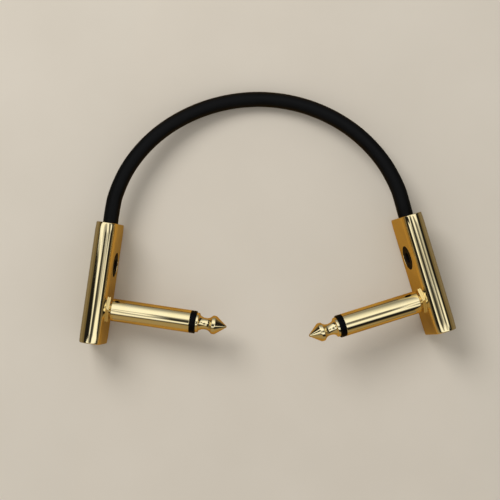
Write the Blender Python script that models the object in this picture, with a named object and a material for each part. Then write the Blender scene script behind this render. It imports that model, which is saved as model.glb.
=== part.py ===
"""Short instrument patch cable with two low-profile right-angle 6.35 mm plugs.

Both plugs stand on their narrow rounded edge with the shafts pointing at each other, and the
cable runs from one to the other in a wide arc that sinks to the surface on its far side.

World frame: metres, +Z up, the surface at Z = 0, +X from the left plug to the right one.
Plug frame: origin where the shaft axis crosses the housing axis, +X along the shaft towards
the tip, +Y along the housing towards the cable. The right plug is the same plug as the left
one, turned half round about its housing axis.
"""

import math

import bmesh
import bpy
import numpy as np
from mathutils import Matrix, Vector

MM = 0.001

# Running clearance between pieces that touch on the real object
GAP = 0.15 * MM
CUT_PAST = 1.0 * MM

# Housing: a stadium bar, rounded over at both ends
HOUSING_THICKNESS = 6.2 * MM
HOUSING_DEPTH = 15.5 * MM
SHAFT_TO_CABLE_END = 24.0 * MM
SHAFT_TO_CLOSED_END = 10.0 * MM
HOUSING_ROUNDING = 0.4 * MM
FLAT_FACE = HOUSING_THICKNESS / 2

# Cable, from the jacket inwards
CABLE_DIAMETER = 4.3 * MM
JACKET_BORE = 3.1 * MM
SHIELD_DIAMETER = 2.8 * MM
SHIELD_BORE = 2.3 * MM
DIELECTRIC_DIAMETER = 2.0 * MM
DIELECTRIC_BORE = 0.9 * MM
CONDUCTOR_DIAMETER = 0.6 * MM
CABLE_PAST_SHAFT = 4.0 * MM
BORE_PAST_CABLE = 0.6 * MM
DRILL_POINT = 1.2 * MM

# Clamp screw in the inner flat face, between the cable end and the shaft
SCREW_DIAMETER = 6.8 * MM
SCREW_TO_CABLE_END = 11.4 * MM
SCREW_LENGTH = 1.05 * MM
SCREW_RECESS = 0.15 * MM
SCREW_CHAMFER = 0.2 * MM
SOCKET_ACROSS_FLATS = 2.6 * MM
SOCKET_DEPTH = 0.6 * MM
POINT_DIAMETER = 1.2 * MM
POINT_LENGTH = 0.4 * MM

# Lock nut against the inner flat face, turned until a corner is on top
NUT_ACROSS_FLATS = 7.0 * MM
NUT_THICKNESS = 0.5 * MM
NUT_CHAMFER = 0.12 * MM
NUT_TURN = 30.0
NUT_TO_SLEEVE = 0.4 * MM

# Shaft: 6.35 mm mono plug
SLEEVE_DIAMETER = 6.35 * MM
SLEEVE_LENGTH = 22.2 * MM
SLEEVE_BORE = 3.6 * MM
STUB_DIAMETER = 4.85 * MM
STUB_INNER_END = 2.35 * MM
EDGE_BREAK = 0.15 * MM
RING_LENGTH = 1.5 * MM
ROD_DIAMETER = 1.8 * MM
ROD_INTO_TIP = 2.0 * MM
LINER_DIAMETER = 3.3 * MM
BUSH_LENGTH = 1.0 * MM
PIN_DIAMETER = 0.9 * MM
PIN_POINT = 0.45 * MM
PIN_POINT_LENGTH = 1.0 * MM
PIN_INTO_ROD = 0.8 * MM

# Tip: collar, waist, shoulder and cone
TIP_LENGTH = 8.55 * MM
COLLAR_DIAMETER = 5.5 * MM
COLLAR_LENGTH = 0.8 * MM
WAIST_END = 4.6 * MM
WAIST_START_DIAMETER = 4.6 * MM
WAIST_DIAMETER = 3.3 * MM
SHOULDER_DIAMETER = 5.2 * MM
SHOULDER_LENGTH = 1.0 * MM
NOSE_DIAMETER = 0.9 * MM

# Stations along the shaft, in the plug frame
NUT_START = FLAT_FACE + GAP
SLEEVE_START = NUT_START + NUT_THICKNESS + NUT_TO_SLEEVE
SLEEVE_END = SLEEVE_START + SLEEVE_LENGTH
RING_START = SLEEVE_END + GAP
TIP_START = RING_START + RING_LENGTH + GAP
BUSH_END = STUB_INNER_END + BUSH_LENGTH
ROD_START = BUSH_END + GAP
ROD_END = TIP_START + ROD_INTO_TIP
SCREW_FACE = FLAT_FACE - SCREW_RECESS
SCREW_BACK = SCREW_FACE - SCREW_LENGTH
SCREW_STATION = SHAFT_TO_CABLE_END - SCREW_TO_CABLE_END

FINE = 48
COARSE = 24
EDGE_ARC = 20
WAIST_STEPS = 8

# Where each plug stands: the floor point under its shaft, its turn about +Z, its outward lean
PLUGS = {
    "left": {"x": -47.19 * MM, "y": -8.29 * MM, "yaw": -8.3, "lean": -5.3, "flip": 0.0},
    "right": {"x": 45 * MM, "y": -5.72 * MM, "yaw": 16.75, "lean": 11.3, "flip": 180.0},
}

# The cable's centre line between the two housings, left to right
ROUTE = [
    (-44.11, 15.82, 7.73),
    (-43.60, 19.28, 7.71),
    (-42.62, 23.67, 7.62),
    (-39.92, 29.87, 7.25),
    (-36.12, 35.45, 6.59),
    (-31.44, 40.26, 5.65),
    (-26.04, 44.22, 4.60),
    (-20.08, 47.31, 3.61),
    (-13.71, 49.48, 2.79),
    (-7.05, 50.68, 2.31),
    (-0.28, 50.85, 2.29),
    (6.43, 49.96, 2.75),
    (12.89, 48.06, 3.55),
    (18.96, 45.21, 4.52),
    (24.51, 41.46, 5.57),
    (29.40, 36.85, 6.51),
    (33.49, 31.49, 7.20),
    (36.60, 25.48, 7.60),
    (37.95, 21.19, 7.67),
    (38.87, 17.81, 7.66),
]
ROUTE_STEP = 2.0 * CABLE_DIAMETER

SURFACES = {
    "gold_plate": ((0.90, 0.68, 0.30), 0.08, 1.0),
    "black_oxide": ((0.02, 0.02, 0.022), 0.35, 0.6),
    "black_nylon": ((0.012, 0.012, 0.013), 0.4, 0.0),
    "black_jacket": ((0.015, 0.015, 0.016), 0.5, 0.0),
    "white_nylon": ((0.80, 0.79, 0.74), 0.5, 0.0),
    "brass": ((0.78, 0.58, 0.26), 0.25, 1.0),
    "hard_steel": ((0.56, 0.56, 0.57), 0.25, 1.0),
    "tinned_copper": ((0.68, 0.62, 0.56), 0.35, 1.0),
    "foam_polyethylene": ((0.85, 0.85, 0.82), 0.6, 0.0),
    "bare_copper": ((0.72, 0.36, 0.20), 0.3, 1.0),
}


def clear_scene():
    for obj in list(bpy.data.objects):
        bpy.data.objects.remove(obj)


def make_materials():
    materials = {}
    for name, (colour, roughness, metallic) in SURFACES.items():
        material = bpy.data.materials.new(name)
        material.use_nodes = True
        shader = material.node_tree.nodes["Principled BSDF"]
        shader.inputs["Base Color"].default_value = (*colour, 1.0)
        shader.inputs["Roughness"].default_value = roughness
        shader.inputs["Metallic"].default_value = metallic
        materials[name] = material
    return materials


def add_object(name, bm, parent, material=None, location=(0, 0, 0), turn=0.0, spin=0.0):
    """An object in the plug frame, spun about its own X axis and turned about the plug's Z."""
    bmesh.ops.recalc_face_normals(bm, faces=bm.faces)
    mesh = bpy.data.meshes.new(name)
    bm.to_mesh(mesh)
    bm.free()
    mesh.shade_smooth()
    mesh.set_sharp_from_angle(angle=math.radians(35))
    obj = bpy.data.objects.new(name, mesh)
    bpy.context.scene.collection.objects.link(obj)
    obj.parent = parent
    obj.location = location
    obj.rotation_euler = (spin, 0, turn)
    if material:
        mesh.materials.append(material)
    else:
        obj.hide_render = True
        obj.display_type = "WIRE"
    return obj


def turned(profile, steps, hollow=False):
    """A profile of (distance along X, radius) spun about X. A hollow one is a closed loop."""
    bm = bmesh.new()
    verts = [bm.verts.new((x, 0, radius)) for x, radius in profile]
    for first, second in zip(verts, verts[1:]):
        bm.edges.new((first, second))
    if hollow:
        bm.edges.new((verts[-1], verts[0]))
    bmesh.ops.spin(
        bm,
        geom=bm.verts[:] + bm.edges[:],
        cent=(0, 0, 0),
        axis=(1, 0, 0),
        angle=2 * math.pi,
        steps=steps,
        use_merge=True,
    )
    bmesh.ops.remove_doubles(bm, verts=bm.verts, dist=1e-7)
    return bm


def rod(start, end, diameter, steps=COARSE):
    radius = diameter / 2
    return turned([(start, 0), (start, radius), (end, radius), (end, 0)], steps)


def tube(start, end, diameter, bore, steps=COARSE):
    outer, inner = diameter / 2, bore / 2
    profile = [(start, inner), (start, outer), (end, outer), (end, inner)]
    return turned(profile, steps, hollow=True)


def hexagon(start, end, across_flats):
    """A hexagonal bar along X with one flat facing +Z."""
    bm = bmesh.new()
    corner = across_flats / math.sqrt(3)
    verts = []
    for i in range(6):
        angle = math.radians(60 * i)
        verts.append(bm.verts.new((start, corner * math.cos(angle), corner * math.sin(angle))))
    face = bm.faces.new(verts)
    moved = bmesh.ops.extrude_face_region(bm, geom=[face])["geom"]
    top = [item for item in moved if isinstance(item, bmesh.types.BMVert)]
    bmesh.ops.translate(bm, verts=top, vec=(end - start, 0, 0))
    return bm


def stadium_bar(depth, thickness, start, end):
    """A bar along Y whose section has two flat faces and two round edges."""
    bm = bmesh.new()
    radius = thickness / 2
    straight = depth / 2 - radius
    verts = []
    for side in (1, -1):
        for i in range(EDGE_ARC + 1):
            angle = math.pi * i / EDGE_ARC + (0 if side == 1 else math.pi)
            x = radius * math.cos(angle)
            z = side * straight + radius * math.sin(angle)
            verts.append(bm.verts.new((x, start, z)))
    face = bm.faces.new(verts)
    moved = bmesh.ops.extrude_face_region(bm, geom=[face])["geom"]
    far = [item for item in moved if isinstance(item, bmesh.types.BMVert)]
    bmesh.ops.translate(bm, verts=far, vec=(0, end - start, 0))
    return bm


def boolean(obj, cutter, operation="DIFFERENCE"):
    modifier = obj.modifiers.new(cutter.name, "BOOLEAN")
    modifier.object = cutter
    modifier.operation = operation
    modifier.solver = "EXACT"


def add_housing(side, parent, material):
    bar = stadium_bar(HOUSING_DEPTH, HOUSING_THICKNESS, -SHAFT_TO_CLOSED_END, SHAFT_TO_CABLE_END)
    housing = add_object(f"housing_{side}", bar, parent, material)
    rounding = housing.modifiers.new("rounding", "BEVEL")
    rounding.width = HOUSING_ROUNDING
    rounding.segments = 4
    rounding.limit_method = "ANGLE"
    rounding.angle_limit = math.radians(60)

    bore = CABLE_DIAMETER / 2 + GAP
    bore_end = -CABLE_PAST_SHAFT - BORE_PAST_CABLE
    mouth = SHAFT_TO_CABLE_END + CUT_PAST
    profile = [(bore_end - DRILL_POINT, 0), (bore_end, bore), (mouth, bore), (mouth, 0)]
    cable_bore = turned(profile, COARSE)
    boolean(housing, add_object(f"cut_bore_{side}", cable_bore, parent, turn=math.pi / 2))

    past_face = FLAT_FACE + CUT_PAST
    stub_hole = rod(STUB_INNER_END - CUT_PAST, past_face, STUB_DIAMETER + 2 * GAP)
    boolean(housing, add_object(f"cut_stub_hole_{side}", stub_hole, parent))

    screw_hole = rod(SCREW_BACK - GAP, past_face, SCREW_DIAMETER + 2 * GAP, FINE)
    station = (0, SCREW_STATION, 0)
    boolean(housing, add_object(f"cut_screw_hole_{side}", screw_hole, parent, location=station))


def add_clamp_screw(side, parent, material):
    radius, point = SCREW_DIAMETER / 2, POINT_DIAMETER / 2
    profile = [
        (SCREW_BACK - POINT_LENGTH, 0),
        (SCREW_BACK, point),
        (SCREW_BACK, radius - SCREW_CHAMFER),
        (SCREW_BACK + SCREW_CHAMFER, radius),
        (SCREW_FACE - SCREW_CHAMFER, radius),
        (SCREW_FACE, radius - SCREW_CHAMFER),
        (SCREW_FACE, 0),
    ]
    station = (0, SCREW_STATION, 0)
    screw = add_object(f"clamp_screw_{side}", turned(profile, FINE), parent, material, station)
    socket = hexagon(SCREW_FACE - SOCKET_DEPTH, SCREW_FACE + CUT_PAST, SOCKET_ACROSS_FLATS)
    boolean(screw, add_object(f"cut_socket_{side}", socket, parent, location=station))


def add_lock_nut(side, parent, material):
    """A hexagon trimmed by a turned blank, which chamfers its corners on both faces."""
    end = NUT_START + NUT_THICKNESS
    corner = NUT_ACROSS_FLATS / math.sqrt(3)
    rim = corner - 2 * NUT_CHAMFER
    bore = STUB_DIAMETER / 2 + GAP
    blank = [
        (NUT_START, bore),
        (NUT_START, rim),
        (NUT_START + NUT_CHAMFER, corner + GAP),
        (end - NUT_CHAMFER, corner + GAP),
        (end, rim),
        (end, bore),
    ]
    trim = add_object(f"cut_nut_blank_{side}", turned(blank, FINE, hollow=True), parent)
    bar = hexagon(NUT_START - CUT_PAST, end + CUT_PAST, NUT_ACROSS_FLATS)
    nut = add_object(f"lock_nut_{side}", bar, parent, material, spin=math.radians(NUT_TURN))
    boolean(nut, trim, "INTERSECT")


def add_sleeve(side, parent, material):
    """The earth contact: a barrel with a threaded stub that passes through the lock nut."""
    outer, inner, stub = SLEEVE_DIAMETER / 2, SLEEVE_BORE / 2, STUB_DIAMETER / 2
    profile = [
        (STUB_INNER_END, inner),
        (STUB_INNER_END, stub - EDGE_BREAK),
        (STUB_INNER_END + EDGE_BREAK, stub),
        (SLEEVE_START, stub),
        (SLEEVE_START, outer - EDGE_BREAK),
        (SLEEVE_START + EDGE_BREAK, outer),
        (SLEEVE_END - EDGE_BREAK, outer),
        (SLEEVE_END, outer - EDGE_BREAK),
        (SLEEVE_END, inner),
    ]
    add_object(f"sleeve_{side}", turned(profile, FINE, hollow=True), parent, material)


def add_tip(side, parent, material):
    """Collar, concave waist, shoulder and cone, with a blind hole for the centre rod."""
    bore = ROD_DIAMETER / 2 + GAP
    bore_end = ROD_END + GAP
    collar, shoulder = COLLAR_DIAMETER / 2, SHOULDER_DIAMETER / 2
    profile = [
        (bore_end, 0),
        (bore_end, bore),
        (TIP_START, bore),
        (TIP_START, collar - EDGE_BREAK),
        (TIP_START + EDGE_BREAK, collar),
        (TIP_START + COLLAR_LENGTH - EDGE_BREAK, collar),
        (TIP_START + COLLAR_LENGTH, collar - EDGE_BREAK),
    ]
    waist_start = TIP_START + COLLAR_LENGTH
    waist_end = TIP_START + WAIST_END
    for i in range(WAIST_STEPS + 1):
        across = 2 * i / WAIST_STEPS - 1
        rim = WAIST_START_DIAMETER if across < 0 else SHOULDER_DIAMETER - 2 * EDGE_BREAK
        radius = WAIST_DIAMETER / 2 + (rim - WAIST_DIAMETER) / 2 * across**2
        profile.append((waist_start + (waist_end - waist_start) * i / WAIST_STEPS, radius))
    cone_start = waist_end + SHOULDER_LENGTH
    nose, end = NOSE_DIAMETER / 2, TIP_START + TIP_LENGTH
    profile += [
        (waist_end + EDGE_BREAK, shoulder),
        (cone_start - EDGE_BREAK, shoulder),
        (cone_start, shoulder - EDGE_BREAK),
        (end - nose, nose),
        (end - 0.3 * nose, 0.7 * nose),
        (end, 0),
    ]
    add_object(f"plug_tip_{side}", turned(profile, FINE), parent, material)


def add_shaft_inside(side, parent, materials):
    """The insulators, the centre rod and the pin that pierces the cable to its conductor."""
    hole = ROD_DIAMETER + 2 * GAP
    ring = tube(RING_START, RING_START + RING_LENGTH, SLEEVE_DIAMETER, hole, FINE)
    add_object(f"insulator_ring_{side}", ring, parent, materials["black_nylon"])
    liner = tube(ROD_START, SLEEVE_END, LINER_DIAMETER, hole)
    add_object(f"insulator_liner_{side}", liner, parent, materials["white_nylon"])
    bush = tube(STUB_INNER_END, BUSH_END, LINER_DIAMETER, PIN_DIAMETER + 2 * GAP)
    add_object(f"rear_bush_{side}", bush, parent, materials["white_nylon"])

    pin_end = ROD_START + PIN_INTO_ROD
    pin_hole = PIN_DIAMETER / 2 + GAP
    radius = ROD_DIAMETER / 2
    rod_profile = [
        (pin_end + GAP, 0),
        (pin_end + GAP, pin_hole),
        (ROD_START, pin_hole),
        (ROD_START, radius),
        (ROD_END, radius),
        (ROD_END, 0),
    ]
    add_object(f"centre_rod_{side}", turned(rod_profile, COARSE), parent, materials["brass"])

    shank = PIN_DIAMETER / 2
    pin_profile = [
        (PIN_POINT, 0),
        (PIN_POINT + PIN_POINT_LENGTH, shank),
        (pin_end, shank),
        (pin_end, 0),
    ]
    add_object(f"piercing_pin_{side}", turned(pin_profile, COARSE), parent, materials["hard_steel"])


def add_cable_end(side, parent, materials):
    """The cable's layers inside the housing bore, holed where the pin and the screw point enter."""
    start, end = -CABLE_PAST_SHAFT, SHAFT_TO_CABLE_END - GAP
    layers = {
        "jacket_end": (CABLE_DIAMETER, JACKET_BORE, "black_jacket"),
        "shield_end": (SHIELD_DIAMETER, SHIELD_BORE, "tinned_copper"),
        "dielectric_end": (DIELECTRIC_DIAMETER, DIELECTRIC_BORE, "foam_polyethylene"),
    }
    pin_way = rod(CONDUCTOR_DIAMETER / 2, FLAT_FACE, PIN_DIAMETER + 2 * GAP)
    pin_way = add_object(f"cut_pin_way_{side}", pin_way, parent)
    for name, (diameter, bore, material) in layers.items():
        layer = tube(start, end, diameter, bore)
        layer = add_object(f"{name}_{side}", layer, parent, materials[material], turn=math.pi / 2)
        boolean(layer, pin_way)
    core = rod(start, end, CONDUCTOR_DIAMETER)
    add_object(f"conductor_end_{side}", core, parent, materials["bare_copper"], turn=math.pi / 2)

    radius, point = SCREW_DIAMETER / 2 + GAP, POINT_DIAMETER / 2 + GAP
    pressed = [
        (SCREW_BACK - POINT_LENGTH - GAP, 0),
        (SCREW_BACK - POINT_LENGTH - GAP, point),
        (SCREW_BACK - GAP, point),
        (SCREW_BACK - GAP, radius),
        (FLAT_FACE, radius),
        (FLAT_FACE, 0),
    ]
    station = (0, SCREW_STATION, 0)
    screw_way = add_object(f"cut_screw_way_{side}", turned(pressed, COARSE), parent, location=station)
    boolean(bpy.data.objects[f"jacket_end_{side}"], screw_way)


def place_plug(side, place):
    """An empty that holds a plug upright on its rounded edge, leaning out by its lean."""
    edge = HOUSING_THICKNESS / 2
    empty = bpy.data.objects.new(f"plug_{side}", None)
    bpy.context.scene.collection.objects.link(empty)
    empty.matrix_world = (
        Matrix.Translation((place["x"], place["y"], edge))
        @ Matrix.Rotation(math.radians(place["yaw"]), 4, "Z")
        @ Matrix.Rotation(math.radians(place["lean"]), 4, "Y")
        @ Matrix.Translation((0, 0, HOUSING_DEPTH / 2 - edge))
        @ Matrix.Rotation(math.radians(place["flip"]), 4, "Y")
    )
    return empty


def add_plug(side, place, materials):
    parent = place_plug(side, place)
    add_housing(side, parent, materials["gold_plate"])
    add_clamp_screw(side, parent, materials["black_oxide"])
    add_lock_nut(side, parent, materials["gold_plate"])
    add_sleeve(side, parent, materials["gold_plate"])
    add_tip(side, parent, materials["gold_plate"])
    add_shaft_inside(side, parent, materials)
    add_cable_end(side, parent, materials)


def smooth_path(route, step):
    """Points a step apart on a Catmull-Rom curve through the route."""
    points = np.array(route) * MM
    points = np.vstack([2 * points[0] - points[1], points, 2 * points[-1] - points[-2]])
    dense = []
    for a, b, c, d in zip(points, points[1:], points[2:], points[3:]):
        for t in np.linspace(0, 1, 20, endpoint=False):
            square = (2 * a - 5 * b + 4 * c - d) * t**2
            cube = (3 * b - a - 3 * c + d) * t**3
            dense.append(0.5 * (2 * b + (c - a) * t + square + cube))
    dense.append(points[-2])
    dense = np.array(dense)
    along = np.concatenate([[0], np.cumsum(np.linalg.norm(np.diff(dense, axis=0), axis=1))])
    stations = np.linspace(0, along[-1], round(along[-1] / step) + 1)
    return [Vector(np.interp(s, along, dense[:, axis]) for axis in range(3)) for s in stations]


def add_free_cable(material):
    """The stretch of cable in the open, from one housing's end face to the other's."""
    curve = bpy.data.curves.new("cable", "CURVE")
    curve.dimensions = "3D"
    curve.bevel_depth = CABLE_DIAMETER / 2
    curve.bevel_resolution = 3
    curve.use_fill_caps = True
    path = smooth_path(ROUTE, ROUTE_STEP)
    spline = curve.splines.new("POLY")
    spline.points.add(len(path) - 1)
    for target, point in zip(spline.points, path):
        target.co = (*point, 1)
    curve.materials.append(material)
    cable = bpy.data.objects.new("cable", curve)
    bpy.context.scene.collection.objects.link(cable)


def main():
    clear_scene()
    materials = make_materials()
    for side, place in PLUGS.items():
        add_plug(side, place, materials)
    add_free_cable(materials["black_jacket"])


main()
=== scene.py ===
"""The looks of a short instrument patch cable with two flat right-angle 6.35 mm plugs."""

import math

import bmesh
import bpy
import numpy as np
from mathutils import Matrix, Vector


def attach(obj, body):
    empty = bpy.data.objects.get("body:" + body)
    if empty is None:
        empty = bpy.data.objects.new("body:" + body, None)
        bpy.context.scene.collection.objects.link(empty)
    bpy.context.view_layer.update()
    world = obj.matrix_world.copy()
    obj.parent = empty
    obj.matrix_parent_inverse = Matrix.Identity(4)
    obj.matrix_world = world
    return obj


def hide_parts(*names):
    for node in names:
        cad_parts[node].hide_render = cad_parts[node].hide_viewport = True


MM = 0.001

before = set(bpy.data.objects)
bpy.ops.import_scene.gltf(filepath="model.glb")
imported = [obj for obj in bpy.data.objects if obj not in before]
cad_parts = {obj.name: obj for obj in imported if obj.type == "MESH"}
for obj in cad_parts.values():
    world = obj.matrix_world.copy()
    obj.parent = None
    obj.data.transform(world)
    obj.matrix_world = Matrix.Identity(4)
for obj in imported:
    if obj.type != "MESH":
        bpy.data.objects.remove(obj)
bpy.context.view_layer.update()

# Where each plug stands, as in the CAD
PLUGS = {
    "left": {"x": -47.19 * MM, "y": -8.29 * MM, "yaw": -8.3, "lean": -5.3, "flip": 0.0},
    "right": {"x": 45 * MM, "y": -5.72 * MM, "yaw": 16.75, "lean": 11.3, "flip": 180.0},
}

# The cable's centre line between the housings, in metres, as in the CAD
ROUTE = [
    (-0.04411, 0.01582, 0.00773),
    (-0.04360, 0.01928, 0.00771),
    (-0.04262, 0.02367, 0.00762),
    (-0.03992, 0.02987, 0.00725),
    (-0.03612, 0.03545, 0.00659),
    (-0.03144, 0.04026, 0.00565),
    (-0.02604, 0.04422, 0.00460),
    (-0.02008, 0.04731, 0.00361),
    (-0.01371, 0.04948, 0.00279),
    (-0.00705, 0.05068, 0.00231),
    (-0.00028, 0.05085, 0.00229),
    (0.00643, 0.04996, 0.00275),
    (0.01289, 0.04806, 0.00355),
    (0.01896, 0.04521, 0.00452),
    (0.02451, 0.04146, 0.00557),
    (0.02940, 0.03685, 0.00651),
    (0.03349, 0.03149, 0.00720),
    (0.03660, 0.02548, 0.00760),
    (0.03795, 0.02119, 0.00767),
    (0.03887, 0.01781, 0.00766),
]
CABLE_DIAMETER = 4.3 * MM
CABLE_CLEARANCE = 0.15 * MM

# Housing
THICKNESS, DEPTH = 6.2 * MM, 15.5 * MM
CABLE_END, CLOSED_END = 24.0 * MM, -10.0 * MM
DRILL_POINT, DRILL_SHOULDER = -5.8 * MM, -4.6 * MM
ROUNDING = 0.24 * MM
BUFFED_LENGTH, BUFFED_DROP = 3.2 * MM, 0.11 * MM
FLAT = THICKNESS / 2
EDGE_BREAK = 0.05 * MM

# Clamp screw
SCREW_STATION = 12.6 * MM
SCREW_RADIUS, POINT_RADIUS = 3.42 * MM, 0.6 * MM
SCREW_FACE = FLAT - 0.02 * MM
SCREW_BACK = SCREW_FACE - 1.1 * MM
POINT_LENGTH = 0.4 * MM
SOCKET, SOCKET_DEPTH, MOUTH_DEPTH = 2.6 * MM, 0.6 * MM, 0.25 * MM

# Lock nut, turned until a corner is on top
NUT_START, NUT_END = FLAT + 0.01 * MM, FLAT + 0.58 * MM
NUT_ACROSS_FLATS = 7.0 * MM
NUT_TURN = 30.0

# Stations along the shaft
SLEEVE_START, SLEEVE_END = FLAT + 1.05 * MM, 26.46 * MM
RING_START, RING_END = SLEEVE_END + 0.01 * MM, 27.99 * MM
TIP_START, TIP_END = RING_END + 0.01 * MM, 36.68 * MM
STUB_INNER_END, ROD_HOLE_END = 2.35 * MM, 30.8 * MM

# Radii round the shaft
SLEEVE_RADIUS, SLEEVE_BORE = 3.175 * MM, 1.8 * MM
STUB_RADIUS, THREAD_DEPTH = 2.42 * MM, 0.14 * MM
ROD_HOLE = 1.05 * MM

# Tip: stations from its start, and radii
COLLAR_LENGTH, COLLAR_RADIUS = 0.8 * MM, 2.75 * MM
WAIST_START, WAIST_LENGTH, WAIST_RADIUS = 0.95 * MM, 3.6 * MM, 1.62 * MM
COLLAR_FLARE, SHOULDER_FLARE, FLARE_POWER = 0.62 * MM, 0.88 * MM, 2.3
SHOULDER_START, SHOULDER_END, SHOULDER_RADIUS = 4.7 * MM, 5.55 * MM, 2.6 * MM

# Segments round the turned pieces and the drilled holes
TURNED_SEGMENTS, DRILLED_SEGMENTS = 128, 64

# Radius of the dome and the warm card, which only reflections see
ROOM = 0.25


# Materials


class Finish:
    """One material with one shader, and shorthand for building its nodes."""

    def __init__(self, name, metallic=0.0, specular=0.5, roughness=0.5):
        self.material = bpy.data.materials.new(name)
        self.material.use_nodes = True
        self.tree = self.material.node_tree
        self.shader = self.tree.nodes["Principled BSDF"]
        self.shader.inputs["Metallic"].default_value = metallic
        self.shader.inputs["Specular IOR Level"].default_value = specular
        self.shader.inputs["Roughness"].default_value = roughness
        self.coordinates = self.tree.nodes.new("ShaderNodeTexCoord").outputs["Object"]

    def link(self, source, target):
        self.tree.links.new(source, target)

    def drive(self, socket, source):
        """Links a source to the shader's socket of that name."""
        self.link(source, self.shader.inputs[socket])

    def stretched(self, scale):
        node = self.tree.nodes.new("ShaderNodeMapping")
        node.inputs["Scale"].default_value = scale
        self.link(self.coordinates, node.inputs["Vector"])
        return node.outputs["Vector"]

    def noise(self, scale, detail=3.0, roughness=0.5, vector=None):
        node = self.tree.nodes.new("ShaderNodeTexNoise")
        node.inputs["Scale"].default_value = scale
        node.inputs["Detail"].default_value = detail
        node.inputs["Roughness"].default_value = roughness
        self.link(vector or self.coordinates, node.inputs["Vector"])
        return node.outputs["Fac"]

    def remap(self, value, low, high, to_low, to_high):
        node = self.tree.nodes.new("ShaderNodeMapRange")
        node.inputs["From Min"].default_value = low
        node.inputs["From Max"].default_value = high
        node.inputs["To Min"].default_value = to_low
        node.inputs["To Max"].default_value = to_high
        self.link(value, node.inputs["Value"])
        return node.outputs["Result"]

    def ramp(self, value, stops):
        node = self.tree.nodes.new("ShaderNodeValToRGB")
        elements = node.color_ramp.elements
        while len(elements) < len(stops):
            elements.new(0.5)
        for element, (position, colour) in zip(elements, stops):
            element.position = position
            element.color = (*colour, 1)
        self.link(value, node.inputs["Fac"])
        return node.outputs["Color"]

    def add(self, first, second):
        node = self.tree.nodes.new("ShaderNodeMath")
        node.operation = "ADD"
        self.link(first, node.inputs[0])
        self.link(second, node.inputs[1])
        return node.outputs["Value"]

    def along(self, direction):
        """How far a point is from the object's middle in a direction."""
        node = self.tree.nodes.new("ShaderNodeVectorMath")
        node.operation = "DOT_PRODUCT"
        self.link(self.coordinates, node.inputs[0])
        node.inputs[1].default_value = direction
        return node.outputs["Value"]

    def mix(self, factor, first, second):
        """From the first colour, a socket, to the second, a value."""
        node = self.tree.nodes.new("ShaderNodeMix")
        node.data_type = "RGBA"
        self.link(factor, node.inputs["Factor"])
        self.link(first, node.inputs[6])
        node.inputs[7].default_value = (*second, 1)
        return node.outputs[2]

    def bump(self, height, distance, over=None):
        """A relief of that depth, laid over another one if one is given."""
        node = self.tree.nodes.new("ShaderNodeBump")
        node.inputs["Distance"].default_value = distance
        self.link(height, node.inputs["Height"])
        if over:
            self.link(over, node.inputs["Normal"])
        return node.outputs["Normal"]


def gold_plate(name, stretch):
    """Mirror-polished gold plate: faint buffing waves, hairlines along stretch, handled haze."""
    finish = Finish(name, metallic=1.0)
    haze = finish.noise(180, detail=4, roughness=0.6)
    tones = [(0.30, (0.95, 0.785, 0.43)), (0.55, (0.965, 0.81, 0.47)), (0.75, (0.97, 0.825, 0.50))]
    finish.drive("Base Color", finish.ramp(haze, tones))
    hairs = finish.noise(900, detail=2, vector=finish.stretched(stretch))
    hazy = finish.remap(haze, 0.35, 0.75, 0.035, 0.085)
    scratched = finish.remap(hairs, 0.45, 0.8, 0.0, 0.05)
    finish.drive("Roughness", finish.add(hazy, scratched))
    waves = finish.bump(finish.noise(110, detail=1), 0.035 * MM)
    finish.drive("Normal", finish.bump(hairs, 0.0006 * MM, over=waves))
    return finish.material


def black_jacket():
    """Extruded soft PVC: near black, satin, with faint grain and handling marks."""
    finish = Finish("cable_jacket_black", specular=0.11)
    smudge = finish.noise(140, detail=4, roughness=0.6)
    tones = [(0.3, (0.0015, 0.0015, 0.0016)), (0.7, (0.0032, 0.0032, 0.0035))]
    finish.drive("Base Color", finish.ramp(smudge, tones))
    finish.drive("Roughness", finish.remap(smudge, 0.3, 0.7, 0.42, 0.58))
    grain = finish.noise(3800, detail=3, roughness=0.65)
    finish.drive("Normal", finish.bump(grain, 0.03 * MM))
    return finish.material


def black_nylon():
    """Turned black nylon with fine tool rings."""
    finish = Finish("ring_black_nylon", specular=0.05)
    rings = finish.noise(2600, detail=2, vector=finish.stretched((1, 0.02, 0.02)))
    cloud = finish.noise(600, detail=3)
    tones = [(0.3, (0.001, 0.001, 0.0012)), (0.7, (0.0028, 0.0028, 0.003))]
    finish.drive("Base Color", finish.ramp(cloud, tones))
    finish.drive("Roughness", finish.remap(rings, 0.3, 0.7, 0.24, 0.40))
    finish.drive("Normal", finish.bump(rings, 0.01 * MM))
    return finish.material


def black_oxide():
    """Black oxide on steel: a dark, slightly uneven bloom."""
    finish = Finish("screw_black_oxide", specular=0.04)
    bloom = finish.noise(1300, detail=5, roughness=0.65)
    tones = [(0.3, (0.0025, 0.002, 0.002)), (0.75, (0.008, 0.006, 0.006))]
    finish.drive("Base Color", finish.ramp(bloom, tones))
    finish.drive("Roughness", finish.remap(bloom, 0.3, 0.7, 0.34, 0.55))
    finish.drive("Normal", finish.bump(bloom, 0.008 * MM))
    return finish.material


def speckled(name, dark, light, scale, roughness, metallic=0.0, relief=0.01 * MM):
    """A finish for pieces inside the plug: two close tones and a fine relief."""
    finish = Finish(name, metallic=metallic)
    grain = finish.noise(scale, detail=4, roughness=0.6)
    finish.drive("Base Color", finish.ramp(grain, [(0.3, dark), (0.7, light)]))
    worn, dull = 0.8 * roughness, 1.25 * roughness
    finish.drive("Roughness", finish.remap(grain, 0.3, 0.7, worn, dull))
    finish.drive("Normal", finish.bump(grain, relief))
    return finish.material


# Shapes, in the plug frame: X along the shaft to the tip, Y to the cable, Z across both


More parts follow.
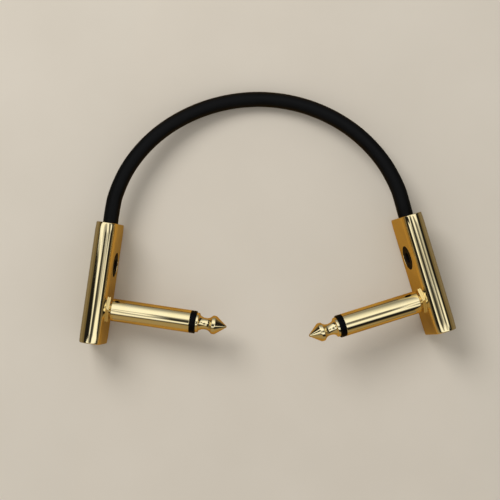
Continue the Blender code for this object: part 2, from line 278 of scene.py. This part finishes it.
def mesh_object(name, bm, material=None, sharp=30):
    bmesh.ops.remove_doubles(bm, verts=bm.verts, dist=1e-8)
    bmesh.ops.recalc_face_normals(bm, faces=bm.faces)
    mesh = bpy.data.meshes.new(name)
    bm.to_mesh(mesh)
    bm.free()
    mesh.shade_smooth()
    mesh.set_sharp_from_angle(angle=math.radians(sharp))
    obj = bpy.data.objects.new(name, mesh)
    bpy.context.scene.collection.objects.link(obj)
    if material:
        mesh.materials.append(material)
    return obj


def circle(radius, count):
    """Points round a circle, from its first axis to its second."""
    angles = [2 * math.pi * i / count for i in range(count)]
    return [(radius * math.cos(a), radius * math.sin(a)) for a in angles]


def bridge(bm, first, second):
    """A strip of faces between two closed rings of vertices."""
    for i in range(len(first)):
        j = (i + 1) % len(first)
        bm.faces.new((first[i], second[i], second[j], first[j]))


def fan(bm, point, ring):
    """Faces from a point to a closed ring of vertices."""
    for i in range(len(ring)):
        bm.faces.new((point, ring[i], ring[(i + 1) % len(ring)]))


def lathe(profile, segments=96):
    """(x, radius) stations spun about X; a closed loop where the two ends are the same point."""
    bm = bmesh.new()
    rings = []
    for x, radius in profile:
        on_axis = radius < 1e-9
        around = [(0, 0)] if on_axis else circle(radius, segments)
        rings.append([bm.verts.new((x, y, z)) for y, z in around])
    for first, second in zip(rings, rings[1:]):
        if len(first) == 1:
            fan(bm, first[0], second)
        elif len(second) == 1:
            fan(bm, second[0], first)
        else:
            bridge(bm, first, second)
    return bm


def fillet(points, radius, steps=4):
    """A profile with each inner corner rounded by up to radius."""
    shallow, most_of_side = math.radians(12), 0.45
    out = [points[0]]
    for before, corner, after in zip(points, points[1:], points[2:]):
        a, b, c = Vector(before), Vector(corner), Vector(after)
        into, away = b - a, c - b
        if into.angle(away) < shallow:
            out.append(corner)
            continue
        reach = min(radius, most_of_side * into.length, most_of_side * away.length)
        start, end = b - into.normalized() * reach, b + away.normalized() * reach
        for i in range(steps + 1):
            t = i / steps
            out.append(tuple(start * (1 - t) ** 2 + b * 2 * t * (1 - t) + end * t**2))
    out.append(points[-1])
    return out


def housing_section(inset, y, round_steps=48, flat_steps=8):
    """The stadium section at station y, shrunk by inset on every side."""
    radius = THICKNESS / 2 - inset
    straight = DEPTH / 2 - THICKNESS / 2
    points = []
    for side in (1, -1):
        for i in range(round_steps + 1):
            angle = math.pi * i / round_steps + (0 if side > 0 else math.pi)
            points.append((radius * math.cos(angle), y, side * straight + radius * math.sin(angle)))
        for i in range(1, flat_steps):
            points.append((-side * radius, y, side * straight * (1 - 2 * i / flat_steps)))
    return points


def housing_shell():
    """The bar, rounded over and softly buffed down towards both ends."""
    rounding_steps, buffed_steps, middle_steps = 8, 10, 10
    length = CABLE_END - CLOSED_END
    end = []
    for i in range(rounding_steps + 1):
        angle = math.pi / 2 * i / rounding_steps
        end.append((ROUNDING * (1 - math.cos(angle)), ROUNDING * (1 - math.sin(angle))))
    for i in range(1, buffed_steps + 1):
        end.append((ROUNDING + (BUFFED_LENGTH - ROUNDING) * i / buffed_steps, 0.0))
    plain = length - 2 * BUFFED_LENGTH
    middle = [(BUFFED_LENGTH + plain * i / middle_steps, 0.0) for i in range(1, middle_steps)]
    other_end = [(length - distance, inset) for distance, inset in reversed(end)]
    bm = bmesh.new()
    rings = []
    for distance, inset in end + middle + other_end:
        from_end = min(distance, length - distance)
        buffed = BUFFED_DROP * max(0.0, 1 - from_end / BUFFED_LENGTH) ** 2
        section = housing_section(inset + buffed, CLOSED_END + distance)
        rings.append([bm.verts.new(p) for p in section])
    for first, second in zip(rings, rings[1:]):
        bridge(bm, first, second)
    bm.faces.new(rings[0])
    bm.faces.new(rings[-1])
    return bm


def bake(obj):
    """Applies the modifiers."""
    depsgraph = bpy.context.evaluated_depsgraph_get()
    made = bpy.data.meshes.new_from_object(obj.evaluated_get(depsgraph))
    obj.modifiers.clear()
    obj.data = made


def cut(obj, cutters, operation="DIFFERENCE"):
    """Cuts the shapes away from the object, or keeps only what lies in them."""
    cutters = [mesh_object(f"cutter_{i}", bm) for i, bm in enumerate(cutters)]
    for cutter in cutters:
        modifier = obj.modifiers.new("cut", "BOOLEAN")
        modifier.object, modifier.operation, modifier.solver = cutter, operation, "EXACT"
    bake(obj)
    for cutter in cutters:
        bpy.data.objects.remove(cutter)


def soften_edges(obj, width, limit=40):
    """Breaks every edge sharper than limit degrees, and keeps the flat faces flat in shading."""
    bevel = obj.modifiers.new("edges", "BEVEL")
    bevel.width, bevel.segments = width, 2
    bevel.limit_method, bevel.angle_limit = "ANGLE", math.radians(limit)
    bake(obj)
    obj.data.shade_smooth()
    obj.data.set_sharp_from_angle(angle=math.radians(50))
    weighted = obj.modifiers.new("normals", "WEIGHTED_NORMAL")
    weighted.keep_sharp = True
    weighted.weight = 60
    bake(obj)


def cylinder(start, end, radius, segments=96):
    """A plain cylinder along X, closed at both ends."""
    return lathe([(start, 0), (start, radius), (end, radius), (end, 0)], segments)


def make_housing(gold):
    """The bar with its cable bore, screw hole and stub hole."""
    bore_radius, mouth = CABLE_DIAMETER / 2 + CABLE_CLEARANCE, CABLE_END + MM
    drilled = [(DRILL_POINT, 0), (DRILL_SHOULDER, bore_radius), (mouth, bore_radius), (mouth, 0)]
    bore = lathe(drilled, DRILLED_SEGMENTS)
    bmesh.ops.transform(bore, matrix=Matrix.Rotation(math.pi / 2, 4, "Z"), verts=bore.verts)
    screw_hole = cylinder(SCREW_BACK - CABLE_CLEARANCE, FLAT + MM, SCREW_RADIUS + 0.02 * MM)
    bmesh.ops.translate(screw_hole, vec=(0, SCREW_STATION, 0), verts=screw_hole.verts)
    stub_radius = STUB_RADIUS + 0.15 * MM
    stub_hole = cylinder(STUB_INNER_END - MM, FLAT + MM, stub_radius, DRILLED_SEGMENTS)
    shell = mesh_object("housing", housing_shell(), gold)
    cut(shell, (bore, screw_hole, stub_hole))
    soften_edges(shell, EDGE_BREAK)
    return shell


def hexagon_bar(start, end, across_flats):
    """A hexagonal bar along X with one flat facing +Z."""
    bm = bmesh.new()
    outline = circle(across_flats / math.sqrt(3), 6)
    rings = [[bm.verts.new((x, y, z)) for y, z in outline] for x in (start, end)]
    bridge(bm, *rings)
    bm.faces.new(rings[0])
    bm.faces.new(rings[1])
    return bm


def make_lock_nut(gold):
    """A thin hexagon nut, its corners chamfered on the outer face and eased on the inner one."""
    corner = NUT_ACROSS_FLATS / math.sqrt(3)
    inner, past = STUB_RADIUS + 0.06 * MM, corner + 0.05 * MM
    blank = [
        (NUT_START, inner),
        (NUT_START, corner - 0.15 * MM),
        (NUT_START + 0.12 * MM, past),
        (NUT_END - 0.22 * MM, past),
        (NUT_END, corner - 0.40 * MM),
        (NUT_END, inner),
        (NUT_START, inner),
    ]
    bar = hexagon_bar(NUT_START - MM, NUT_END + MM, NUT_ACROSS_FLATS)
    nut = mesh_object("lock_nut", bar, gold)
    cut(nut, [lathe(blank)], "INTERSECT")
    nut.data.transform(Matrix.Rotation(math.radians(NUT_TURN), 4, "X"))
    soften_edges(nut, 0.06 * MM, limit=20)
    return nut


def make_clamp_screw(steel):
    """A set screw: blunt point, broken rim, flat face, hexagon socket with a countersunk mouth."""
    profile = [
        (SCREW_BACK - POINT_LENGTH, 0),
        (SCREW_BACK, POINT_RADIUS),
        (SCREW_BACK, SCREW_RADIUS - 0.15 * MM),
        (SCREW_BACK + 0.15 * MM, SCREW_RADIUS),
        (SCREW_FACE - 0.12 * MM, SCREW_RADIUS),
        (SCREW_FACE, SCREW_RADIUS - 0.14 * MM),
        (SCREW_FACE, 0),
    ]
    mouth = [
        (SCREW_FACE - MOUTH_DEPTH, 0),
        (SCREW_FACE - MOUTH_DEPTH, 0.49 * SOCKET),
        (SCREW_FACE + 0.05 * MM, 0.62 * SOCKET),
        (SCREW_FACE + 0.05 * MM, 0),
    ]
    socket = hexagon_bar(SCREW_FACE - SOCKET_DEPTH, SCREW_FACE + MM, SOCKET)
    screw = mesh_object("clamp_screw", lathe(fillet(profile, 0.05 * MM)), steel)
    cut(screw, (socket, lathe(mouth)))
    soften_edges(screw, 0.03 * MM)
    screw.data.transform(Matrix.Translation((0, SCREW_STATION, 0)))
    return screw


def turned_loop(name, profile, rounding, steps, material):
    """A piece with a hole right through it: a rounded profile that closes on its own start."""
    rounded = fillet(profile, rounding, steps)
    return mesh_object(name, lathe(rounded + [rounded[0]], TURNED_SEGMENTS), material)


def make_sleeve(gold):
    """The barrel and its stub, threaded where it shows between the nut and the barrel."""
    turns = 4
    pitch = (SLEEVE_START - FLAT) / turns
    root = STUB_RADIUS - THREAD_DEPTH
    thread = []
    for i in range(turns):
        crest = FLAT + pitch * i
        thread += [(crest, STUB_RADIUS), (crest + 0.5 * pitch, root)]
    profile = [
        (STUB_INNER_END, SLEEVE_BORE),
        (STUB_INNER_END, STUB_RADIUS),
        *thread,
        (SLEEVE_START, root),
        (SLEEVE_START, SLEEVE_RADIUS),
        (SLEEVE_END, SLEEVE_RADIUS),
        (SLEEVE_END, SLEEVE_BORE),
    ]
    return turned_loop("sleeve", profile, 0.14 * MM, 5, gold)


def make_ring(nylon):
    """The black ring between the barrel and the tip."""
    profile = [
        (RING_START, ROD_HOLE),
        (RING_START, SLEEVE_RADIUS),
        (RING_END, SLEEVE_RADIUS),
        (RING_END, ROD_HOLE),
    ]
    return turned_loop("insulator_ring", profile, 0.08 * MM, 3, nylon)


def make_tip(gold):
    """Collar, concave waist, shoulder and cone, with a blind hole for the centre rod."""
    outline = [
        (ROD_HOLE_END, 0),
        (ROD_HOLE_END, ROD_HOLE),
        (TIP_START, ROD_HOLE),
        (TIP_START, COLLAR_RADIUS),
        (TIP_START + COLLAR_LENGTH, COLLAR_RADIUS),
        (TIP_START + WAIST_START, 2.35 * MM),
    ]
    waist_steps = 16
    for i in range(waist_steps + 1):
        across = 2 * i / waist_steps - 1
        flare = COLLAR_FLARE if across < 0 else SHOULDER_FLARE
        radius = WAIST_RADIUS + flare * abs(across) ** FLARE_POWER
        outline.append((TIP_START + WAIST_START + WAIST_LENGTH * i / waist_steps, radius))
    outline += [
        (TIP_START + SHOULDER_START, SHOULDER_RADIUS),
        (TIP_START + SHOULDER_END, SHOULDER_RADIUS),
        (TIP_END - 0.42 * MM, 0.5 * MM),
        (TIP_END - 0.12 * MM, 0.33 * MM),
        (TIP_END, 0.12 * MM),
        (TIP_END, 0),
    ]
    rounded = fillet(outline, 0.22 * MM, 5)
    return mesh_object("plug_tip", lathe(rounded, TURNED_SEGMENTS), gold, sharp=60)


def plug_matrix(place):
    """From the plug frame to where that plug stands, leaning about its lower rounded edge."""
    edge = THICKNESS / 2
    return (
        Matrix.Translation((place["x"], place["y"], edge))
        @ Matrix.Rotation(math.radians(place["yaw"]), 4, "Z")
        @ Matrix.Rotation(math.radians(place["lean"]), 4, "Y")
        @ Matrix.Translation((0, 0, DEPTH / 2 - edge))
        @ Matrix.Rotation(math.radians(place["flip"]), 4, "Y")
    )


def make_plugs():
    """Both plugs, each piece in place of the CAD node of its name."""
    gold_bar = gold_plate("gold_plate_housing", (1.0, 0.05, 1.0))
    gold_turned = gold_plate("gold_plate_turned", (1.0, 0.06, 0.06))
    pieces = {
        "housing": (make_housing(gold_bar), "gold_plate"),
        "clamp_screw": (make_clamp_screw(black_oxide()), "black_oxide"),
        "lock_nut": (make_lock_nut(gold_bar), "gold_plate"),
        "sleeve": (make_sleeve(gold_turned), "gold_plate"),
        "insulator_ring": (make_ring(black_nylon()), "black_nylon"),
        "plug_tip": (make_tip(gold_turned), "gold_plate"),
    }
    for name, (source, slot) in pieces.items():
        for side, place in PLUGS.items():
            piece = bpy.data.objects.new(f"{name}_{side}_visual", source.data.copy())
            bpy.context.scene.collection.objects.link(piece)
            piece.matrix_world = plug_matrix(place)
            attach(piece, "root")
            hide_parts(f"{name}_{side}")
        bpy.data.objects.remove(source)


# The pieces inside the plugs: material, dark and light tone, grain, roughness, metallic, relief
INNER_FINISHES = {
    "insulator_liner": ("liner_nylon", (0.66, 0.64, 0.58), (0.82, 0.81, 0.76), 900, 0.5),
    "rear_bush": ("bush_nylon", (0.64, 0.62, 0.56), (0.80, 0.79, 0.74), 900, 0.5),
    "centre_rod": (
        "rod_brass", (0.62, 0.42, 0.16), (0.80, 0.60, 0.28), 2400, 0.25, 1.0, 0.004 * MM
    ),
    "piercing_pin": (
        "pin_steel", (0.42, 0.42, 0.43), (0.60, 0.60, 0.61), 2600, 0.25, 1.0, 0.003 * MM
    ),
    "jacket_end": ("jacket_end_black", (0.005, 0.005, 0.005), (0.012, 0.012, 0.012), 2500, 0.5),
    "shield_end": (
        "shield_tinned", (0.46, 0.42, 0.39), (0.74, 0.69, 0.63), 3200, 0.35, 1.0, 0.03 * MM
    ),
    "dielectric_end": ("dielectric_foam", (0.74, 0.74, 0.71), (0.88, 0.88, 0.86), 3000, 0.6),
    "conductor_end": (
        "conductor_copper", (0.55, 0.22, 0.10), (0.80, 0.42, 0.24), 3200, 0.3, 1.0, 0.02 * MM
    ),
}


def make_inner_finishes():
    """The pieces inside the plugs keep their CAD shape and get their own finishes."""
    for name, look in INNER_FINISHES.items():
        material = speckled(*look)
        for side in PLUGS:
            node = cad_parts[f"{name}_{side}"]
            node.data.materials.clear()
            node.data.materials.append(material)


# The cable


def smooth_path(route, step):
    """Points a step apart on a Catmull-Rom curve through the route."""
    points = np.array(route)
    points = np.vstack([2 * points[0] - points[1], points, 2 * points[-1] - points[-2]])
    dense = []
    for a, b, c, d in zip(points, points[1:], points[2:], points[3:]):
        square, cube = 2 * a - 5 * b + 4 * c - d, 3 * b - a - 3 * c + d
        for t in np.linspace(0, 1, 24, endpoint=False):
            dense.append(0.5 * (2 * b + (c - a) * t + square * t**2 + cube * t**3))
    dense = np.array([*dense, points[-2]])
    along = np.concatenate([[0], np.cumsum(np.linalg.norm(np.diff(dense, axis=0), axis=1))])
    stations = np.linspace(0, along[-1], round(along[-1] / step) + 1)
    return [Vector(np.interp(s, along, dense[:, axis]) for axis in range(3)) for s in stations]


def make_cable():
    """The free stretch of jacket, drawn just inside both bores so that no gap shows."""
    just_inside = Vector((0, CABLE_END - 0.1 * MM, 0))
    start, end = [plug_matrix(PLUGS[side]) @ just_inside for side in ("left", "right")]
    path = [start, *smooth_path(ROUTE, 1.6 * MM), end]
    curve = bpy.data.curves.new("cable_jacket", "CURVE")
    curve.dimensions = "3D"
    curve.bevel_depth = CABLE_DIAMETER / 2
    curve.bevel_resolution = 10
    curve.use_fill_caps = True
    spline = curve.splines.new("POLY")
    spline.points.add(len(path) - 1)
    for target, point in zip(spline.points, path):
        target.co = (*point, 1)
    spline.use_smooth = True
    curve.materials.append(black_jacket())
    cable = bpy.data.objects.new("cable_jacket", curve)
    bpy.context.scene.collection.objects.link(cable)
    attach(cable, "root")
    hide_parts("cable")


# The studio

# The soft light's edges and the warm room's, in degrees right (u) and back (v) of overhead. The
# left and right edges give u at some values of v, and the others give v at some values of u.
LEFT_EDGE = (
    [-24, -15, -9, -7, -3, 0, 6, 9, 15, 20],
    [-36, -45, -48, -29, -28, -33, -42, -58, -62, -48],
)
RIGHT_EDGE = ([-24, -17, -14, -3, 0, 6, 9], [56, 50, 43, 43, 52, 51, 46])
FRONT_EDGE = ([-20, 30], [-31, -27])
BACK_EDGE = ([0, 40], [58, 34])
ROOM_EDGE = ([-20, 45], [-41, -56])
ROOM_SIDE = 70

# How many degrees each of them takes to fade, and how far the light fades at the back
LEFT_FADE, RIGHT_FADE, FRONT_FADE, BACK_FADE, ROOM_FADE = 8, 9, 12, 46, 16
LEFT_SIDE_FADE, RIGHT_SIDE_FADE = 12, 14
BACK_DIMMING = 0.75

# Dark things in front of the light: (centre, half size, slant, softness, darkness)
OVERHEAD = [
    ((-8.5, -6), (10.5, 13.5), 0.0, 0.6, 0.97),
    ((9, -3.5), (8, 5), 0.0, 0.6, 0.6),
    ((4, -8.5), (5, 4), 0.0, 0.6, 0.7),
    ((-23, -12), (8, 6), 0.0, 0.7, 0.6),
    ((-22, 8), (9, 4), 0.0, 0.7, 0.5),
    ((-11, 11), (8, 4), 0.0, 0.6, 0.5),
    ((26, 5), (9.5, 9), -0.6, 0.45, 0.86),
    ((28, -5), (8, 5), 0.0, 0.6, 0.45),
    ((38, 9), (9, 4.5), 0.0, 0.6, 0.5),
]

LIGHT_COLOUR = np.array((1.07, 1.10, 1.12))
ROOM_COLOUR = np.array((0.32, 0.25, 0.13))
LEAST_LIGHT = 0.012

# Painted reflection colours of the warm card, which only reflections see: amber wood between the
# plugs, olive outside them
PAINTED_AMBER_REFLECTION = [(0.30, (0.30, 0.145, 0.010)), (0.70, (0.58, 0.33, 0.05))]
PAINTED_OLIVE_REFLECTION = (0.235, 0.19, 0.12)
MATT = 0.75


def disc(name, radius, height, material):
    bm = bmesh.new()
    bmesh.ops.create_circle(bm, cap_ends=True, radius=radius, segments=96)
    bmesh.ops.translate(bm, vec=(0, 0, height), verts=bm.verts)
    return mesh_object(name, bm, material)


def show_to_reflections_only(obj):
    obj.visible_camera = False
    obj.visible_diffuse = False
    obj.visible_shadow = False
    obj.visible_transmission = False


def make_floor():
    """A plain pale floor, which reflections don't see."""
    finish = Finish("floor_pale", roughness=MATT)
    tones = [(0.3, (0.685, 0.625, 0.53)), (0.7, (0.715, 0.655, 0.56))]
    finish.drive("Base Color", finish.ramp(finish.noise(30), tones))
    floor = disc("floor", 4.0, 0.0, finish.material)
    floor.visible_glossy = False


def make_warm_card():
    """What reflections see instead of the floor, a painted reflection: amber wood colour between
    the plugs, olive outside them.
    """
    finish = Finish("card_warm", roughness=MATT)
    grain = finish.noise(60, detail=4, roughness=0.6, vector=finish.stretched((1.0, 0.35, 1.0)))
    outside = []
    for side, sign in (("left", -1), ("right", 1)):
        place = PLUGS[side]
        yaw = math.radians(place["yaw"])
        outwards = (sign * math.cos(yaw), sign * math.sin(yaw), 0)
        plug = outwards[0] * place["x"] + outwards[1] * place["y"]
        distance = finish.along(outwards)
        outside.append(finish.remap(distance, plug + 0.5 * MM, plug + 2.5 * MM, 0.0, 1.0))
    # Painted reflection: amber grain between the plugs, blending to olive outside each plug
    painted_amber_reflection = finish.ramp(grain, PAINTED_AMBER_REFLECTION)
    finish.drive("Base Color", finish.mix(finish.add(*outside), painted_amber_reflection, PAINTED_OLIVE_REFLECTION))
    card = disc("warm_card", ROOM, 0.02 * MM, finish.material)
    show_to_reflections_only(card)


def rise(value, edge, soft):
    """0 below the edge, 1 above it, smooth over soft degrees."""
    t = max(0.0, min(1.0, (value - edge) / soft + 0.5))
    return t * t * (3 - 2 * t)


def patch(u, v, centre, half, slant, soft):
    """1 inside a rounded box whose sides may slant, 0 outside."""
    across = (u - centre[0] - slant * (v - centre[1])) / half[0]
    along = (v - centre[1]) / half[1]
    return 1 - rise((across**4 + along**4) ** 0.25, 1.0, soft)


def studio_light(direction):
    """The colour of the studio in a direction: one wide soft light that fades to the back, with
    dark edges, dark things in front of it, and a dim warm room at the front and the sides."""
    x, y, z = direction
    zenith = math.degrees(math.acos(max(-1.0, min(1.0, z))))
    azimuth = math.atan2(y, x)
    u, v = zenith * math.cos(azimuth), zenith * math.sin(azimuth)

    light = rise(u, np.interp(v, *LEFT_EDGE), LEFT_FADE)
    light *= 1 - rise(u, np.interp(v, *RIGHT_EDGE), RIGHT_FADE)
    light *= rise(v, np.interp(u, *FRONT_EDGE), FRONT_FADE)
    light *= 1 - BACK_DIMMING * rise(v, np.interp(u, *BACK_EDGE), BACK_FADE)
    for centre, half, slant, soft, darkness in OVERHEAD:
        light *= 1 - darkness * patch(u, v, centre, half, slant, soft)
    front = 1 - rise(v, np.interp(u, *ROOM_EDGE), ROOM_FADE)
    left, right = 1 - rise(u, -ROOM_SIDE, LEFT_SIDE_FADE), rise(u, ROOM_SIDE, RIGHT_SIDE_FADE)
    room = max(front, 0.5 * left, 0.5 * right)
    return np.maximum(LIGHT_COLOUR * light, ROOM_COLOUR * room) + LEAST_LIGHT


def glow():
    """An emission in the mesh's painted colour."""
    material = bpy.data.materials.new("studio_light")
    material.use_nodes = True
    tree = material.node_tree
    tree.nodes.clear()
    painted = tree.nodes.new("ShaderNodeAttribute")
    painted.attribute_name = "light"
    emission = tree.nodes.new("ShaderNodeEmission")
    output = tree.nodes.new("ShaderNodeOutputMaterial")
    tree.links.new(painted.outputs["Color"], emission.inputs["Color"])
    tree.links.new(emission.outputs["Emission"], output.inputs["Surface"])
    return material


def make_room():
    """A dome that only reflections see, with its light painted on as a point colour."""
    around, down = 180, 90
    bm = bmesh.new()
    rings = []
    for j in range(1, down + 1):
        polar = math.pi / 2 * j / down
        height = ROOM * math.cos(polar)
        outline = circle(ROOM * math.sin(polar), around)
        rings.append([bm.verts.new((x, y, height)) for x, y in outline])
    fan(bm, bm.verts.new((0, 0, ROOM)), rings[0])
    for first, second in zip(rings, rings[1:]):
        bridge(bm, first, second)
    dome = mesh_object("studio_dome", bm, glow())
    light = dome.data.attributes.new("light", "FLOAT_COLOR", "POINT")
    for painted, vertex in zip(light.data, dome.data.vertices):
        painted.color = (*studio_light(vertex.co.normalized()), 1.0)
    show_to_reflections_only(dome)


def make_lamps():
    """A large soft key lamp at the back left and a pale surround, for the floor and the cable."""
    world = bpy.data.worlds.new("studio")
    bpy.context.scene.world = world
    world.use_nodes = True
    background = world.node_tree.nodes["Background"]
    background.inputs["Color"].default_value = (0.95, 0.93, 0.90, 1)
    background.inputs["Strength"].default_value = 0.55
    lamp = bpy.data.lights.new("key", "AREA")
    lamp.shape, lamp.size, lamp.energy = "DISK", 0.45, 3.4
    key = bpy.data.objects.new("key", lamp)
    bpy.context.scene.collection.objects.link(key)
    key.location = (-0.35, 0.45, 0.60)
    aim = Vector((0, 0.01, 0))
    key.rotation_euler = (aim - key.location).to_track_quat("-Z", "Y").to_euler()
    key.visible_glossy = False


def make_camera():
    """Straight down from 450 mm over the object, in the photograph's framing."""
    camera = bpy.data.cameras.new("camera")
    camera.sensor_width = 36
    camera.lens = 113.2
    camera.shift_y = 0.024
    camera.clip_start = 0.01
    obj = bpy.data.objects.new("camera", camera)
    bpy.context.scene.collection.objects.link(obj)
    obj.location = (-4.906 * MM, 4.597 * MM, 450 * MM)
    bpy.context.scene.camera = obj


make_camera()
make_cable()
make_plugs()
make_inner_finishes()
make_lamps()
make_floor()
make_warm_card()
make_room()
bpy.context.scene.view_settings.view_transform = "Standard"
